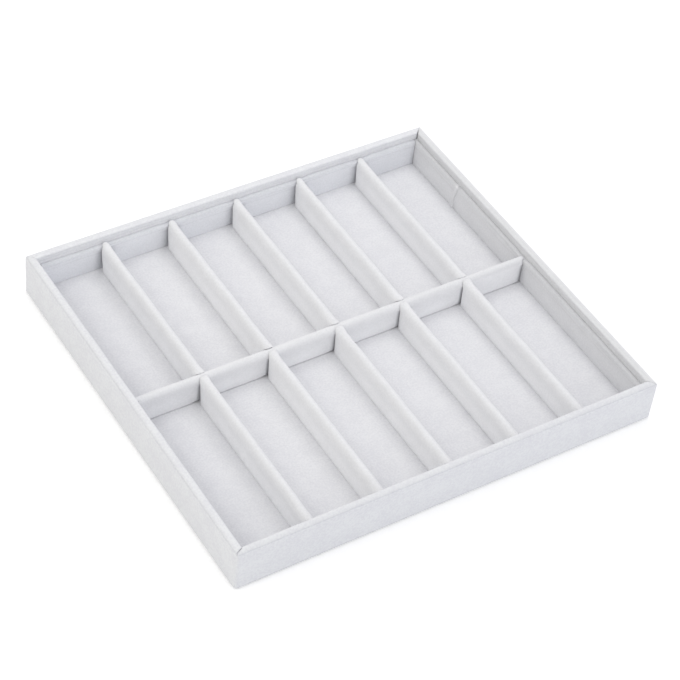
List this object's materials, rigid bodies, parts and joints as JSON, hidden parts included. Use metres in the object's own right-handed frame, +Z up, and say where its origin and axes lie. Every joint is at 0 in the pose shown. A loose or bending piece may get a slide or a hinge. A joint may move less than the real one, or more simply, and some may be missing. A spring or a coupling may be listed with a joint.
{
  "type": "sunglasses display tray",
  "caption": "Low open tray of velvet-covered boards, its floor split into equal compartments for folded sunglasses by a full-width divider and short dividers on both sides of it.",
  "frame": {"origin": "middle of the underside of the bottom sheet, the face that the tray rests on", "axes": "+X along the tray's width, towards the right side, +Y towards the back, +Z up out of the compartments"},
  "size_m": [0.4, 0.366, 0.042],
  "materials": {
    "board": "grey fibreboard, bare, inside the covers",
    "bottom_sheet": "matte off-white non-woven lining sheet",
    "outer_velvet": "short-pile pale grey-white velvet, matte with soft sheen",
    "rim_velvet": "short-pile pale grey-white velvet, matte with soft sheen",
    "floor_velvet": "short-pile pale grey-white velvet with flattened patches in the nap",
    "liner_velvet": "short-pile pale grey-white velvet",
    "divider_velvet": "short-pile pale white velvet over thin foam, soft rounded top"
  },
  "bodies": {
    "root": {"bottom_sheet": "bottom_sheet", "base_board": "board", "outer_cover": "outer_velvet", "wall_board_front": "board", "wall_board_back": "board", "wall_board_left": "board", "wall_board_right": "board", "rim_cover_front": "rim_velvet", "rim_cover_back": "rim_velvet", "rim_cover_left": "rim_velvet", "rim_cover_right": "rim_velvet", "floor_board": "board", "floor_cover": "floor_velvet", "liner_board_front": "board", "liner_board_back": "board", "liner_board_left": "board", "liner_board_right_front": "board", "liner_board_right_rear": "board", "liner_cover_front": "liner_velvet", "liner_cover_back": "liner_velvet", "liner_cover_left": "liner_velvet", "liner_cover_right_front": "liner_velvet", "liner_cover_right_rear": "liner_velvet", "center_divider_board": "board", "center_divider_cover": "divider_velvet", "front_divider_1_board": "board", "front_divider_1_cover": "divider_velvet", "front_divider_2_board": "board", "front_divider_2_cover": "divider_velvet", "front_divider_3_board": "board", "front_divider_3_cover": "divider_velvet", "front_divider_4_board": "board", "front_divider_4_cover": "divider_velvet", "front_divider_5_board": "board", "front_divider_5_cover": "divider_velvet", "back_divider_1_board": "board", "back_divider_1_cover": "divider_velvet", "back_divider_2_board": "board", "back_divider_2_cover": "divider_velvet", "back_divider_3_board": "board", "back_divider_3_cover": "divider_velvet", "back_divider_4_board": "board", "back_divider_4_cover": "divider_velvet", "back_divider_5_board": "board", "back_divider_5_cover": "divider_velvet"}
  },
  "joints": []
}
